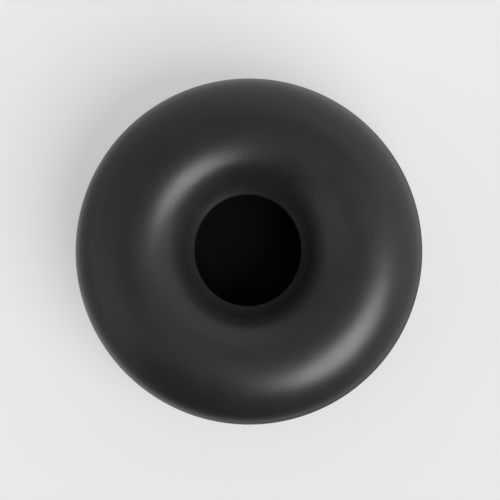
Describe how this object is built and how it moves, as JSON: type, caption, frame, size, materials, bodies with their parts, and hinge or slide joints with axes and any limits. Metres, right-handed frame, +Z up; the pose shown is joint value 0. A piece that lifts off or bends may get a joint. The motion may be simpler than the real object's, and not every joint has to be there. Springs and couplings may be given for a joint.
{
  "type": "donut vase",
  "caption": "Low ring-shaped ceramic vase: a round hollow ring with a sunken mouth in its middle, a turned-in rounded lip, a closed floor and a foot ring on felt pads.",
  "frame": {"origin": "middle of the footprint, on the surface that the vase stands on", "axes": "+Z up along the ring's axis; X and Y are alike, with the felt pads at 45 degrees to them"},
  "size_m": [0.2, 0.2, 0.068],
  "materials": {
    "glazed_stoneware": "satin",
    "bare_stoneware": "matte",
    "felt": "matte"
  },
  "bodies": {
    "root": {"upper_shell": "glazed_stoneware", "lower_shell": "glazed_stoneware", "mouth_collar": "glazed_stoneware", "foot_ring": "bare_stoneware", "foot_pad_1": "felt", "foot_pad_2": "felt", "foot_pad_3": "felt", "foot_pad_4": "felt"}
  },
  "joints": []
}
